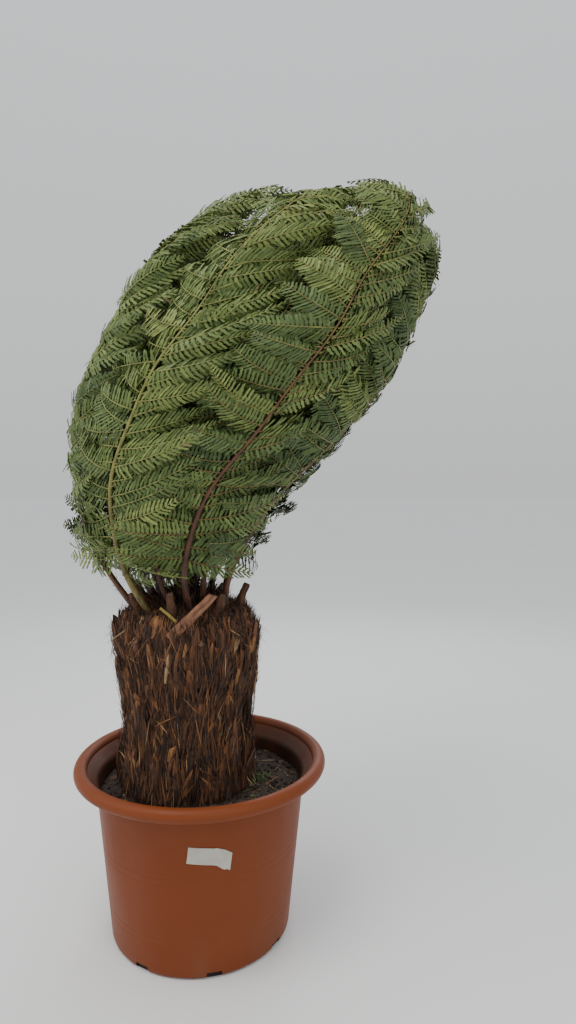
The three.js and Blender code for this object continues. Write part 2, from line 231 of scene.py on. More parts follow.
INNER_WALL_DARK = (0.032, 0.017, 0.011)


def arc(x, z, radius, start, end, steps):
    turns = (math.radians(start + (end - start) * i / steps) for i in range(steps + 1))
    return [(x + radius * math.cos(t), z + radius * math.sin(t)) for t in turns]


def wall_radius(z):
    rise = (z - FOOT_ROUND) / (WALL_TOP - FOOT_ROUND)
    return WALL_FOOT_RADIUS + (WALL_TOP_RADIUS - WALL_FOOT_RADIUS) * rise


def on_wall(z, sunk=0.0):
    return wall_radius(z) - sunk, z


def groove(z):
    """One groove's section, with a level row a little below and above it."""
    half = GROOVE_WIDTH / 2
    shares = ((-1, 0), (-0.5, 0.8), (0, 1), (0.5, 0.8), (1, 0))
    section = [on_wall(z + at * half, depth * GROOVE_DEPTH) for at, depth in shares]
    return [on_wall(z - half - GROOVE_SHOULDER), *section, on_wall(z + half + GROOVE_SHOULDER)]


def soft_corner(before, corner, after, steps=5):
    """A rounded corner, as long as CORNER_LENGTH on each side of the sharp one."""
    corner = Vector(corner)
    first = corner + (Vector(before) - corner).normalized() * CORNER_LENGTH
    last = corner + (Vector(after) - corner).normalized() * CORNER_LENGTH
    shares = (i / steps for i in range(steps + 1))
    return [tuple(first * (1 - t) ** 2 + corner * (2 * t * (1 - t)) + last * t**2) for t in shares]


def spin_profile(profile, steps):
    shape = bmesh.new()
    verts = [shape.verts.new((x, 0, z)) for x, z in profile]
    edges = [shape.edges.new(pair) for pair in zip(verts, verts[1:])]
    bmesh.ops.spin(
        shape, geom=verts + edges, cent=(0, 0, 0), axis=(0, 0, 1), angle=2 * math.pi,
        steps=steps, use_merge=True,
    )
    bmesh.ops.remove_doubles(shape, verts=shape.verts, dist=1e-6)
    bmesh.ops.recalc_face_normals(shape, faces=shape.faces)
    return shape


roll = arc(RIM_RADIUS - RIM_ROLL, POT_HEIGHT - RIM_ROLL, RIM_ROLL, -105, 180, 26)
wall_foot_inside = (wall_radius(POT_FLOOR + FOOT_ROUND) - WALL, POT_FLOOR + FOOT_ROUND)
pot_profile = [
    (0, 0),
    *arc(WALL_FOOT_RADIUS - FOOT_ROUND, FOOT_ROUND, FOOT_ROUND, -90, 0, 6),
    on_wall(FOOT_ROUND + CORNER_LENGTH / 2),
    *(point for z in GROOVES for point in groove(z)),
    on_wall(WALL_TOP - 2 * CORNER_LENGTH),
    *soft_corner((WALL_FOOT_RADIUS, FOOT_ROUND), (WALL_TOP_RADIUS, WALL_TOP), roll[0]),
    *roll,
    *soft_corner(roll[-1], (WALL_TOP_RADIUS - WALL, WALL_TOP), wall_foot_inside),
    on_wall(WALL_TOP - 2 * CORNER_LENGTH, WALL),
    wall_foot_inside,
    (wall_radius(POT_FLOOR) - WALL - FOOT_ROUND / 2, POT_FLOOR),
    (0, POT_FLOOR),
]


def shade(colour, share):
    return tuple(share * c for c in colour)


def grained(name, colour, roughness, scale=120):
    """A plain tint with a fine grain in its colour and its gloss."""
    finish = Finish(name)
    finish.colour(finish.mottle(scale), shade(colour, 0.62), shade(colour, 1.38))
    finish.set("Roughness", finish.mottle(scale * 1.6, 2) * 0.24 + (roughness - 0.12))
    return finish


def fix(piece, slot, *nodes):
    """Fixes a piece to the plant's one body, and hides the nodes it stands for. Its slot is not used."""
    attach(piece, "root")
    if nodes:
        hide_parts(*nodes)


def round_edges(shape, edges, offset, segments):
    bmesh.ops.bevel(
        shape, geom=edges, offset=offset, segments=segments, profile=0.5, affect="EDGES",
        material=-1,
    )


plastic = Finish("terracotta_plastic")
# The notches' inner faces are painted near-black: painted shade of the hollow under the pot's foot.
notch_painted_shade = grained("notch_painted_shade", (0.010, 0.007, 0.005), 0.88)
pot_finishes = [plastic, notch_painted_shade]
pot = model("pot_shell", spin_profile(pot_profile, POT_STEPS), pot_finishes, smooth=True)

shape = bmesh.new()
for i in range(NOTCHES):
    turn = Matrix.Rotation(NOTCH_TURN + i * 2 * math.pi / NOTCHES, 4, "Z")
    spot = Matrix.Translation((WALL_FOOT_RADIUS, 0, 0))
    size = Matrix.Diagonal((2 * NOTCH_DEPTH, NOTCH_WIDTH, 2 * NOTCH_HEIGHT, 1))
    bmesh.ops.create_cube(shape, size=1, matrix=turn @ spot @ size)
upper = [
    e for e in shape.edges
    if min(v.co.z for v in e.verts) > 0 and abs(e.calc_length() - 2 * NOTCH_DEPTH) < 0.001
]
round_edges(shape, upper, NOTCH_CORNER, 2)
# Every notch face gets the near-black painted shade finish.
for face in shape.faces:
    face.material_index = 1
cutter = model("notch_cutter", shape, pot_finishes)
cut = pot.modifiers.new("notches", "BOOLEAN")
cut.operation = "DIFFERENCE"
cut.object = cutter
cut.solver = "EXACT"
bpy.context.view_layer.update()
seen = pot.evaluated_get(bpy.context.evaluated_depsgraph_get())
notched = bpy.data.meshes.new_from_object(seen)
pot.modifiers.clear()
pot.data = notched
bpy.data.objects.remove(cutter)
notched.shade_smooth()
notched.set_sharp_from_angle(angle=math.radians(40))
# The facing_in layer marks the faces that turn inwards, which the plastic's colour darkens below the rim.
facing_in = notched.attributes.new("facing_in", "FLOAT", "POINT")
for vert, level in zip(notched.vertices, facing_in.data):
    radial = Vector((vert.co.x, vert.co.y, 0)).normalized()
    level.value = min(1, max(0, -vert.normal.dot(radial)))

blotch = plastic.patches(0.38, 0.68, 5, 4)
speck = plastic.patches(0.6, 0.72, 420, 2)
dust_patch = plastic.patches(0.46, 0.72, 9, 5, (1, 1, 0.35))
low_down = 1 - plastic.ramp(plastic.height(), 0.0, 0.12)
body = plastic.mix(blotch * 0.4, TERRACOTTA, TERRACOTTA_PALE)
body = plastic.mix(speck * 0.15, body, TERRACOTTA_PALE)
body = plastic.mix(dust_patch * (low_down * 0.3 + 0.03), body, POT_DUST)
splash = plastic.patches(0.22, 0.6, 17, 5, (1, 1, 0.6))
# Inward-facing faces below the rim are darkened in patches towards a near-black brown.
inner_darkening = plastic.attribute("facing_in") * (1 - plastic.ramp(plastic.height(), 0.364, 0.386))
plastic.colour(inner_darkening * (splash * 0.3 + 0.66), body, INNER_WALL_DARK)
plastic.set("Roughness", dust_patch * 0.14 + plastic.mottle(60, 2) * 0.1 + 0.4)
plastic.set("Specular IOR Level", 0.2)
plastic.bump(plastic.mottle(260) + plastic.mottle(24, 2) * 0.6, 0.1, 0.0005)
fix(pot, "pot_plastic", "pot")


# A bare white paper label is stuck a little askew on the front of the wall. Its right end
# has slipped down and creased, and its lower edge is torn there.
LABEL_TURN = math.radians(-78.4)
LABEL_TOP = ((-0.045, 0.2925), (0.014, 0.2863), (0.03, 0.2805), (0.0446, 0.271))
LABEL_FOOT = ((-0.0487, 0.258), (0.011, 0.2502), (0.027, 0.2377), (0.033, 0.2388), (0.04, 0.2336))
LABEL_CELLS = (90, 36)
LABEL_THICKNESS = 0.0003
LABEL_LIFT = 0.0007
LABEL_CREASE = 0.0011
LABEL_CURL = 0.004
LABEL_WRINKLE = 0.0003
PAPER = (0.48, 0.46, 0.39)
PAPER_WORN = (0.32, 0.30, 0.25)


def along_edge(edge, share):
    reach, level = zip(*edge)
    across = reach[0] + (reach[-1] - reach[0]) * share
    return across, float(np.interp(across, reach, level))


def ripple(x, y, z):
    return noise.noise(Vector((x, y, z)))


shape = bmesh.new()
bmesh.ops.create_grid(shape, x_segments=LABEL_CELLS[0], y_segments=LABEL_CELLS[1], size=0.5)
for vert in shape.verts:
    share, rise = vert.co.x + 0.5, vert.co.y + 0.5
    top_across, top_level = along_edge(LABEL_TOP, share)
    foot_across, foot_level = along_edge(LABEL_FOOT, share)
    torn = max(0, share - 0.6) * 0.006 * ripple(share * 40, 2.5, 0)
    across = foot_across + (top_across - foot_across) * rise
    z = foot_level + torn + (top_level - foot_level - torn) * rise
    crease = LABEL_CREASE * max(0, 1 - abs(share - 0.66 + 0.1 * rise) / 0.05)
    curl = LABEL_CURL * max(0, share - 0.75) * (1 - rise) ** 2
    wrinkle = LABEL_WRINKLE * ripple(share * 9, rise * 5, 3)
    radius = wall_radius(z) + LABEL_LIFT + crease + curl + wrinkle
    turn = LABEL_TURN + across / wall_radius(z)
    vert.co = (radius * math.cos(turn), radius * math.sin(turn), z)
bmesh.ops.recalc_face_normals(shape, faces=shape.faces)
bmesh.ops.solidify(shape, geom=shape.faces[:], thickness=LABEL_THICKNESS)
label_paper = Finish("label_paper", 0.6)
smudge = label_paper.patches(0.42, 0.7, 40, 5)
label_paper.colour(smudge * 0.5, PAPER, PAPER_WORN)
label_paper.bump(label_paper.mottle(90), 0.2, 0.0006)
fix(model("label", shape, [label_paper], smooth=True), "pot_plastic")


# Dark potting soil fills the tub to below its rim. It is loose peat and bark, with
# clods, dry brown litter from the crown and a little green moss on top.
SOIL_TOP = 0.328
SOIL_EDGE_DROP = 0.007
SOIL_LEVEL_RADIUS = 0.193
SOIL_GAP = 0.0004
SOIL_LUMPS = ((22, 1.5, 0.0042), (90, 7.5, 0.0022))
SOIL_RINGS = 46
SOIL_STEPS = 170
TRUNK_X = -0.034
TRUNK_FOOT_RADIUS = 0.148
CLODS = 1300
CLOD_TONES = {"clod_dark": (0.018, 0.95), "clod_brown": (0.055, 0.95), "clod_bark": (0.1, 0.9)}
CLOD_HUES = ((0.6, 0.33, 0.2), (1.3, 0.72, 0.4))
CLOD_SHARES = (0.55, 0.3, 0.15)
LITTER = 300
MOSS = 90
MOSS_CLUMP = 110
MOSS_CLUMP_PLACE = (0.132, -0.002)
MOSS_CLUMP_SPREAD = 0.012
UPWARDS = np.array((0.0, 0.0, 1.0))
SOIL_DARK = (0.016, 0.011, 0.008)
SOIL_BROWN = (0.062, 0.038, 0.024)
chance = np.random.default_rng(41)

inner_wall = wall_radius(SOIL_TOP - SOIL_EDGE_DROP) - WALL - SOIL_GAP


def soil_height(x, y):
    lumps = sum(size * ripple(x * scale, y * scale, level) for scale, level, size in SOIL_LUMPS)
    edge = (math.hypot(x, y) - SOIL_LEVEL_RADIUS) / (inner_wall - SOIL_LEVEL_RADIUS)
    return SOIL_TOP - SOIL_EDGE_DROP * min(1, max(0, edge)) + lumps


soil_profile = [
    (0.0, POT_FLOOR + SOIL_GAP),
    (wall_radius(POT_FLOOR) - WALL - FOOT_ROUND / 2 - SOIL_GAP, POT_FLOOR + SOIL_GAP),
    (wall_radius(0.03) - WALL - SOIL_GAP, 0.03),
    *((inner_wall * (1 - i / SOIL_RINGS), SOIL_TOP) for i in range(SOIL_RINGS + 1)),
]
shape = spin_profile(soil_profile, SOIL_STEPS)
for vert in shape.verts:
    if vert.co.z > SOIL_TOP / 2:
        vert.co.z = soil_height(vert.co.x, vert.co.y)
soil_finish = Finish("soil_crumb", 0.95)
crumb = soil_finish.patches(0.4, 0.66, 170, 6)
soil_finish.colour(crumb, SOIL_DARK, SOIL_BROWN)
soil_finish.bump(soil_finish.mottle(320, 5) + crumb, 0.6, 0.002)
fix(model("soil_bed", shape, [soil_finish], smooth=True), "potting_soil", "soil")


def array_piece(name, slot, points, template, finishes, dealt, nodes=(), smooth=False):
    """Many copies of a few faces, joined in one mesh from arrays and fixed to the plant.

    The points go by copy, and a finish is dealt to each copy or to each face."""
    starts = range(0, points.size // 3, points.shape[1]) if points.ndim > 2 else (0,)
    faces = [tuple(i + start for i in face) for start in starts for face in template]
    mesh = bpy.data.meshes.new(name)
    mesh.from_pydata(points.reshape(-1, 3).tolist(), [], faces)
    piece = add_object(name, mesh, finishes)
    dealt = np.repeat(dealt, len(faces) // len(dealt)).astype(np.int32)
    mesh.polygons.foreach_set("material_index", dealt)
    mesh.polygons.foreach_set("use_smooth", np.full(len(faces), smooth))
    mesh.update()
    fix(piece, slot, *nodes)


def unit(vectors):
    return vectors / np.maximum(1e-9, np.linalg.norm(vectors, axis=-1, keepdims=True))


def level_directions(turn):
    """Outwards and around, at each turn about an upright axis."""
    outward = np.stack((np.cos(turn), np.sin(turn), 0 * turn), axis=1)
    return outward, np.cross(UPWARDS, outward)


def strands(name, slot, root, along, across, length, width, lift, bend, finishes, tints, stations=3):
    """Flat tapering strands. Each bends towards lift as it runs along, and is dealt a tint."""
    share = np.linspace(0, 1, stations + 1)[:, None]
    taper = np.minimum(1, (1 - share) * 2.2 + 0.12) * np.minimum(1, share * 6 + 0.35)
    spine = root[:, None] + along[:, None] * share * length[:, None, None]
    spine = spine + lift[:, None] * (bend[:, None, None] * share**2)
    side = across[:, None] * taper * width[:, None, None] / 2
    points = np.stack((spine - side, spine + side), axis=2).reshape(len(root), -1, 3)
    template = [(2 * i, 2 * i + 1, 2 * i + 3, 2 * i + 2) for i in range(stations)]
    array_piece(name, slot, points, template, finishes, tints)


def clear_of_trunk(x, y):
    free = np.hypot(x - TRUNK_X, y) > TRUNK_FOOT_RADIUS + 0.004
    return x[free], y[free]


def ring_places(count, inner, outer):
    """Seeded places on the soil between the trunk and the wall."""
    radius = np.sqrt(chance.uniform(inner**2, outer**2, count))
    turn = chance.uniform(0, 2 * np.pi, count)
    return clear_of_trunk(radius * np.cos(turn), radius * np.sin(turn))


def on_soil(x, y, raised=0.0):
    z = np.array([soil_height(a, b) for a, b in zip(x, y)]) + raised
    return np.stack((x, y, z), axis=1)


ball = bmesh.new()
bmesh.ops.create_icosphere(ball, subdivisions=1, radius=1)
ball_points = np.array([v.co for v in ball.verts])
ball_faces = [tuple(v.index for v in f.verts) for f in ball.faces]
ball.free()
clod_places = on_soil(*ring_places(CLODS, 0.1, inner_wall - 0.004))
clod_count = len(clod_places)
size = chance.gamma(2.2, 0.0016, clod_count).clip(0.0012, 0.0085)
uneven = chance.uniform(0.55, 1.25, (clod_count, len(ball_points), 1))
squash = chance.uniform(0.5, 1.2, (clod_count, 1, 3))
clod_points = clod_places[:, None] + ball_points * uneven * squash * size[:, None, None]
clod_finishes = []
for name, (tone, roughness) in CLOD_TONES.items():
    finish = Finish(name, roughness)
    finish.colour(finish.mottle(150), *(shade(hue, tone) for hue in CLOD_HUES))
    finish.bump(finish.mottle(380), 0.5, 0.001)
    clod_finishes.append(finish)
clod_tints = chance.choice(3, clod_count, p=CLOD_SHARES)
array_piece("soil_clods", "potting_soil", clod_points, ball_faces, clod_finishes, clod_tints)


def fallen(name, places, length, width, finishes, rise):
    """Strands lying on the soil in every direction, their ends a little raised."""
    root = on_soil(*places, 0.002)
    count = len(root)
    along, across = level_directions(chance.uniform(0, 2 * np.pi, count))
    along[:, 2] = chance.uniform(-0.02, rise, count)
    across[:, 2] = chance.normal(0, 0.5, count)
    across = unit(across)
    lengths = chance.uniform(*length, count)
    end_x, end_y = (root + along * lengths[:, None])[:, :2].T
    in_pot = np.hypot(end_x, end_y) < inner_wall - 0.006
    keep = in_pot & (np.hypot(end_x - TRUNK_X, end_y) > TRUNK_FOOT_RADIUS)
    kept = keep.sum()
    bend = chance.normal(0, 0.002, kept)
    strands(
        name, "potting_soil", root[keep], along[keep], across[keep], lengths[keep],
        chance.uniform(*width, kept), np.tile(UPWARDS, (kept, 1)), bend, finishes,
        chance.integers(0, len(finishes), kept),
    )


litter_finishes = [
    grained("litter_straw", (0.32, 0.21, 0.1), 0.8),
    grained("litter_brown", (0.12, 0.055, 0.025), 0.85),
    grained("litter_dark", (0.045, 0.022, 0.012), 0.88),
]
moss_finishes = [
    grained("moss_green", (0.040, 0.076, 0.018), 0.8),
    grained("moss_pale", (0.085, 0.130, 0.034), 0.8),
]
open_ring = (0.1, inner_wall - 0.012)
clump = (chance.normal(0, MOSS_CLUMP_SPREAD, MOSS_CLUMP) + middle for middle in MOSS_CLUMP_PLACE)
clump = clear_of_trunk(*clump)
litter = ring_places(LITTER, *open_ring)
fallen("soil_litter", litter, (0.012, 0.055), (0.0012, 0.004), litter_finishes, 0.12)
moss = ring_places(MOSS, *open_ring)
fallen("soil_moss", moss, (0.004, 0.014), (0.001, 0.0028), moss_finishes, 1.1)
fallen("moss_clump", clump, (0.004, 0.011), (0.0016, 0.0042), moss_finishes, 1.2)


# The trunk is a post of matted root fibre and old stalk bases, set in the soil. It widens
# towards its head, and tufts of fibre overlap all over it like upright shingles.
TRUNK_FOOT = 0.3143
TRUNK_RELIEF_FOOT = 0.329
TRUNK_SIDE = ((0.154, 0.342), (0.141, 0.49), (0.158, 0.655), (0.1422, 0.717), (0.0869, 0.744))
TRUNK_HEAD = 0.752
TRUNK_STEPS = 270
TRUNK_ROW = 0.0022
RIDGE_HEIGHT = 0.004
TUFTS_ROUND = 12
TUFT_FOOT = 0.31
TUFT_RISE = 0.056
TUFT_LENGTH = 0.092
TUFT_PROUD = 0.015
WORN_TURN = -1.58
WORN_HEIGHT = 0.703
WORN_DEPTH = 0.005
MAT_DEPTH = 0.006
FIBRE_COLOURS = (
    (0.020, 0.010, 0.0065), (0.044, 0.0195, 0.0105), (0.082, 0.034, 0.016),
    (0.152, 0.058, 0.021), (0.245, 0.108, 0.037), (0.36, 0.225, 0.11),
)


def smooth_through(points, spacing):
    """A smooth curve through the points, in steps of about the spacing."""
    points = np.array(points)
    last = len(points) - 1
    made = []
    for i in range(last):
        a, b, c, d = (points[min(max(j, 0), last)] for j in range(i - 1, i + 3))
        t = np.linspace(0, 1, round(np.linalg.norm(c - b) / spacing), endpoint=False)[:, None]
        leave = (c - a) / 2
        arrive = (d - b) / 2
        cubic = (2 * b - 2 * c + leave + arrive) * t**3
        made.append(cubic + (3 * c - 3 * b - 2 * leave - arrive) * t**2 + leave * t + b)
    return np.vstack((*made, points[-1:]))


def fibre_relief(turn, z):
    """Broad ridges, and on them tufts that swell upwards and end in a blunt lip.

    One spot, where a cut stalk leans on the fibre, is worn flat."""
    ridges = np.sin(5 * turn + z / 0.07) + 0.8 * np.sin(9 * turn - z / 0.043)
    top = np.floor((z - TUFT_FOOT) / TUFT_RISE)
    proud = 0 * z
    for row in (top - 1, top):
        climb = (z - TUFT_FOOT - row * TUFT_RISE) / TUFT_LENGTH
        shift = 0.5 * np.fmod(row, 2) + 0.2 * np.sin(4 * row)
        place = turn / (2 * np.pi) * TUFTS_ROUND + shift
        column = np.mod(np.rint(place) + TUFTS_ROUND, TUFTS_ROUND)
        size = 0.72 + 0.28 * np.sin(5 * column + 3 * row)
        swell = np.minimum(climb / 0.72, (1 - climb) / 0.28)
        proud = np.maximum(proud, size * swell * (1 - (2 * (place - np.rint(place))) ** 2))
    worn = np.exp(-(((turn - WORN_TURN) / 0.17) ** 2) - ((z - WORN_HEIGHT) / 0.03) ** 2)
    return RIDGE_HEIGHT * ridges + TUFT_PROUD * proud * (1 - worn) - WORN_DEPTH * worn


trunk_side = smooth_through(TRUNK_SIDE, TRUNK_ROW)


def trunk_radius(turn, z):
    """Radius of the fibre's face at a height: the taper and the relief."""
    grown = np.clip((z - TRUNK_RELIEF_FOOT) / 0.006, 0, 1)
    return np.interp(z, trunk_side[:, 1], trunk_side[:, 0]) + fibre_relief(turn, z) * grown


head_rows = np.linspace(0, 1, 26)[1:, None]
head_rows = trunk_side[-1] + (np.array((0, TRUNK_HEAD)) - trunk_side[-1]) * head_rows
core_profile = [(0.0, TRUNK_FOOT), (TRUNK_FOOT_RADIUS, TRUNK_FOOT)]
core_profile += [(TRUNK_FOOT_RADIUS, TRUNK_RELIEF_FOOT), *trunk_side.tolist(), *head_rows.tolist()]
shape = spin_profile(core_profile, TRUNK_STEPS)
flat_points = np.array([v.co for v in shape.verts])
radii = np.hypot(flat_points[:, 0], flat_points[:, 1])
turns = np.arctan2(flat_points[:, 1], flat_points[:, 0])
reliefs = fibre_relief(turns, flat_points[:, 2])
proud = shape.verts.layers.float.new("proud")
for vert, radius, turn, relief in zip(shape.verts, radii, turns, reliefs):
    ahead, aside = 9 * math.cos(turn), 9 * math.sin(turn)
    upright = ripple(ahead * 2.6, aside * 2.6, vert.co.z * 11)
    fine = ripple(ahead * 8, aside * 8, vert.co.z * 34)
    lump = ripple(ahead * 1.2, aside * 1.2, vert.co.z * 18)
    mat = 0.0055 * upright + 0.0032 * fine + 0.005 * lump
    # The proud layer also drives painted shade in the fibre's colour: the lower it is, the darker.
    vert[proud] = 0.5 + (relief * 0.45 + mat - 0.002) / 0.018
    if radius > 0.002 and vert.co.z > TRUNK_RELIEF_FOOT:
        share = min(1, radius / 0.08)
        moved = radius + (relief + mat - MAT_DEPTH) * share
        vert.co.x *= moved / radius
        vert.co.y *= moved / radius
        vert.co.z += 0.006 * lump * (1 - min(1, radius / 0.13))
    vert.co.x += TRUNK_X

fibre = Finish("trunk_fibre", 0.92)
# Painted shade: where the face is sunk between tufts it is near-black, and the strand, knot and pale
# colours show only where it stands proud.
clear_of_painted_shade = fibre.ramp(fibre.attribute("proud"), 0.32, 0.8)
strand = fibre.patches(0.38, 0.66, 30, 6, (1, 1, 0.16))
knot = fibre.patches(0.52, 0.66, 34, 4, (1, 1, 0.5))
pale_strand = fibre.patches(0.6, 0.7, 110, 4, (1, 1, 0.09))
fibre_with_painted_shade = fibre.mix(strand * clear_of_painted_shade, FIBRE_COLOURS[0], FIBRE_COLOURS[2])
warm = fibre.mix(knot * clear_of_painted_shade * 0.8, fibre_with_painted_shade, FIBRE_COLOURS[3])
fibre.colour(pale_strand * clear_of_painted_shade * 0.5, warm, FIBRE_COLOURS[4])
fibre.bump(fibre.mottle(130, 5, (1, 1, 0.15)) + strand, 0.9, 0.004)
fix(model("trunk_core", shape, [fibre], smooth=True), "trunk_fibre", "trunk")


# Torn pieces of old stalk, matted fibres and a few straws stand in and on the trunk's face.
# They are brown to orange dry plant fibre, mostly upright, with ragged ends.
CHIPS = 2600
CHUNKS = 190
BROOMS = 90
BROOM_FIBRES = 13
FIBRES = 8500
STRAWS = 90
HEAD_FIBRES = 2600
HEAD_RADIUS = 0.15
HEAD_ROWS = ((0, 0.752), (0.087, 0.744), (0.142, 0.717), (0.15, 0.70))
HEART_RADIUS = 0.085
HEART_RISE = 0.055
FIBRE_TOP = 0.757
FIBRE_FOOT = 0.325
CHIP_SPAN = (0.322, 0.735)
BROOM_SPAN = (0.35, 0.725)
CHIP_ROWS = (0.0, 0.3, 0.62, 0.86, 1.0)
CHIP_ROW_WIDTHS = (0.45, 0.9, 1.0, 0.9, 0.55)
CHIP_RIDGE = 0.3
fibre_finishes = [grained(f"fibre_{i + 1}", c, 0.85, 90) for i, c in enumerate(FIBRE_COLOURS)]


def on_trunk(turn, z, out):
    radius = trunk_radius(turn, z) + out
    return np.stack((TRUNK_X + radius * np.cos(turn), radius * np.sin(turn), z), axis=-1)


def scatter(count, span, each=1):
    """Seeded heights and turns on the trunk, and the ways up its face, outwards and around."""
    z, turn = (np.repeat(chance.uniform(*ends, count), each) for ends in (span, (-np.pi, np.pi)))
    outward, around = level_directions(turn)
    above, below = (np.interp(z + rise, trunk_side[:, 1], trunk_side[:, 0]) for rise in (0.02, -0.01))
    lean = np.clip((above - below) / 0.03, -1.6, 0.3)
    return z, turn, unit(outward * lean[:, None] + UPWARDS), outward, around


def swing(first, second, turn):
    """The first direction turned towards the second."""
    return first * np.cos(turn) + second * np.sin(turn)


def rolled(outward, along, spread):
    """Directions across strands, each strand rolled about its own length."""
    return swing(np.cross(outward, along), outward, chance.normal(0, spread, (len(along), 1)))


def chips(name, count, length, width, lean, shares):
    """Ridged strips of stalk. Each stands in the mat, leans out and ends in splinters."""
    z, turn, upward, outward, around = scatter(count, CHIP_SPAN)
    tilt = chance.normal(0, 1, count) * chance.choice((0.13, 0.45), count, p=(0.75, 0.25))
    along = unit(upward + around * tilt[:, None])
    across = rolled(outward, along, 0.45)
    lengths = np.minimum(chance.uniform(*length, count), 0.55 * (FIBRE_TOP - z) + 0.01)
    widths = chance.uniform(*width, count)[:, None, None]
    share = np.array(CHIP_ROWS)[:, None]
    widths = widths * np.array(CHIP_ROW_WIDTHS)[:, None]
    splinter = chance.uniform(0.72, 1.12, (count, 1, 3))
    run = share * (1 + (splinter - 1) * share**3) * lengths[:, None, None]
    sideways = np.array((-0.5, 0.0, 0.5)) * widths
    off = np.array((0.0, CHIP_RIDGE, 0.0)) * widths
    off = off + chance.uniform(*lean, count)[:, None, None] * run * share
    points = on_trunk(turn, z, chance.uniform(-0.008, -0.002, count))[:, None, None]
    for direction, distance in ((along, run), (across, sideways), (outward, off)):
        points = points + direction[:, None, None] * distance[..., None]
    template = []
    for i in range(0, 3 * len(CHIP_ROWS) - 3, 3):
        template += [(i, i + 1, i + 4, i + 3), (i + 1, i + 2, i + 5, i + 4)]
    tints = chance.choice(len(FIBRE_COLOURS), count, p=shares)
    points = points.reshape(count, -1, 3)
    array_piece(name, "trunk_fibre", points, template, fibre_finishes, tints)


def shag(name, count, span, length, width, lean, out, bend, shares, stations=3):
    """Strands growing up the trunk's face, with their free ends bending outwards."""
    z, turn, upward, outward, around = scatter(count, span)
    flip = np.where(chance.uniform(0, 1, count) < 0.2, -1.0, 1.0)
    along = unit(upward * flip[:, None] + around * chance.normal(0, lean, count)[:, None])
    across = unit(rolled(outward, along, 0.6))
    room = np.where(along[:, 2] > 0, FIBRE_TOP - z, z - FIBRE_FOOT) / np.maximum(0.05, np.abs(along[:, 2]))
    lengths = np.minimum(chance.uniform(*length, count), room)
    free = np.clip(chance.gamma(1.4, bend, count), 0, 0.02)
    tints = chance.choice(len(FIBRE_COLOURS), count, p=shares)
    root = on_trunk(turn, z, chance.uniform(*out, count))
    strands(
        name, "trunk_fibre", root, along, across, lengths, chance.uniform(*width, count),
        outward, free, fibre_finishes, tints, stations,
    )


def brooms(name, count, each, length, width, shares):
    """Frayed bundles: the fibres of each fan out from one point on the trunk's face."""
    z, turn, upward, outward, around = scatter(count, BROOM_SPAN, each)
    tilt = np.repeat(chance.normal(0, 0.3, count), each) + chance.normal(0, 0.24, count * each)
    off = chance.uniform(0.0, 0.45, count * each)
    along = unit(upward + around * tilt[:, None] + outward * off[:, None])
    tints = np.repeat(chance.choice(len(FIBRE_COLOURS), count, p=shares), each)
    strands(
        name, "trunk_fibre", on_trunk(turn, z, -0.002), along, unit(np.cross(outward, along)),
        np.minimum(chance.uniform(*length, count * each), FIBRE_TOP - z),
        chance.uniform(*width, count * each), outward, chance.uniform(0, 0.005, count * each),
        fibre_finishes, tints,
    )


chips("trunk_chips", CHIPS, (0.022, 0.078), (0.003, 0.0105), (0.0, 0.14),
      (0.15, 0.27, 0.29, 0.2, 0.08, 0.01))
chips("trunk_chunks", CHUNKS, (0.032, 0.066), (0.011, 0.018), (0.03, 0.2),
      (0.02, 0.1, 0.25, 0.42, 0.2, 0.01))
brooms("trunk_brooms", BROOMS, BROOM_FIBRES, (0.016, 0.042), (0.0008, 0.0019),
       (0, 0, 0.15, 0.35, 0.4, 0.1))
shag("trunk_fibres", FIBRES, (0.328, 0.735), (0.02, 0.07), (0.0008, 0.0022), 0.2,
     (-0.005, 0.003), 0.003, (0.2, 0.3, 0.28, 0.15, 0.06, 0.01), 4)
shag("trunk_straws", STRAWS, (0.36, 0.72), (0.02, 0.06), (0.0014, 0.0032), 1.2,
     (0.001, 0.006), 0.004, (0.0, 0.0, 0.05, 0.15, 0.35, 0.45))

head_out, head_around = level_directions(chance.uniform(-np.pi, np.pi, HEAD_FIBRES))
head_radius = HEAD_RADIUS * np.sqrt(chance.uniform(0, 1, HEAD_FIBRES))
head_root = np.array((TRUNK_X, 0, 0)) + head_out * head_radius[:, None]
head_root[:, 2] = np.interp(head_radius, *zip(*HEAD_ROWS)) - 0.006
head_up = unit(UPWARDS + chance.normal(0, 0.35, (HEAD_FIBRES, 3)) + 0.3 * head_out)
head_across = unit(np.cross(head_up, chance.normal(0, 1, (HEAD_FIBRES, 3))))
in_heart = np.clip(1 - head_radius / HEART_RADIUS, 0, 1) ** 0.5
head_lengths = chance.uniform(0.012, 0.034, HEAD_FIBRES)
head_lengths += HEART_RISE * in_heart * chance.uniform(0.5, 1.1, HEAD_FIBRES)
strands(
    "head_fibres", "trunk_fibre", head_root, head_up, head_across, head_lengths,
    chance.uniform(0.001, 0.003, HEAD_FIBRES) * (1 + 0.8 * in_heart), head_out,
    chance.uniform(0, 0.005, HEAD_FIBRES), fibre_finishes,
    chance.choice(5, HEAD_FIBRES, p=(0.35, 0.3, 0.2, 0.1, 0.05)),
)


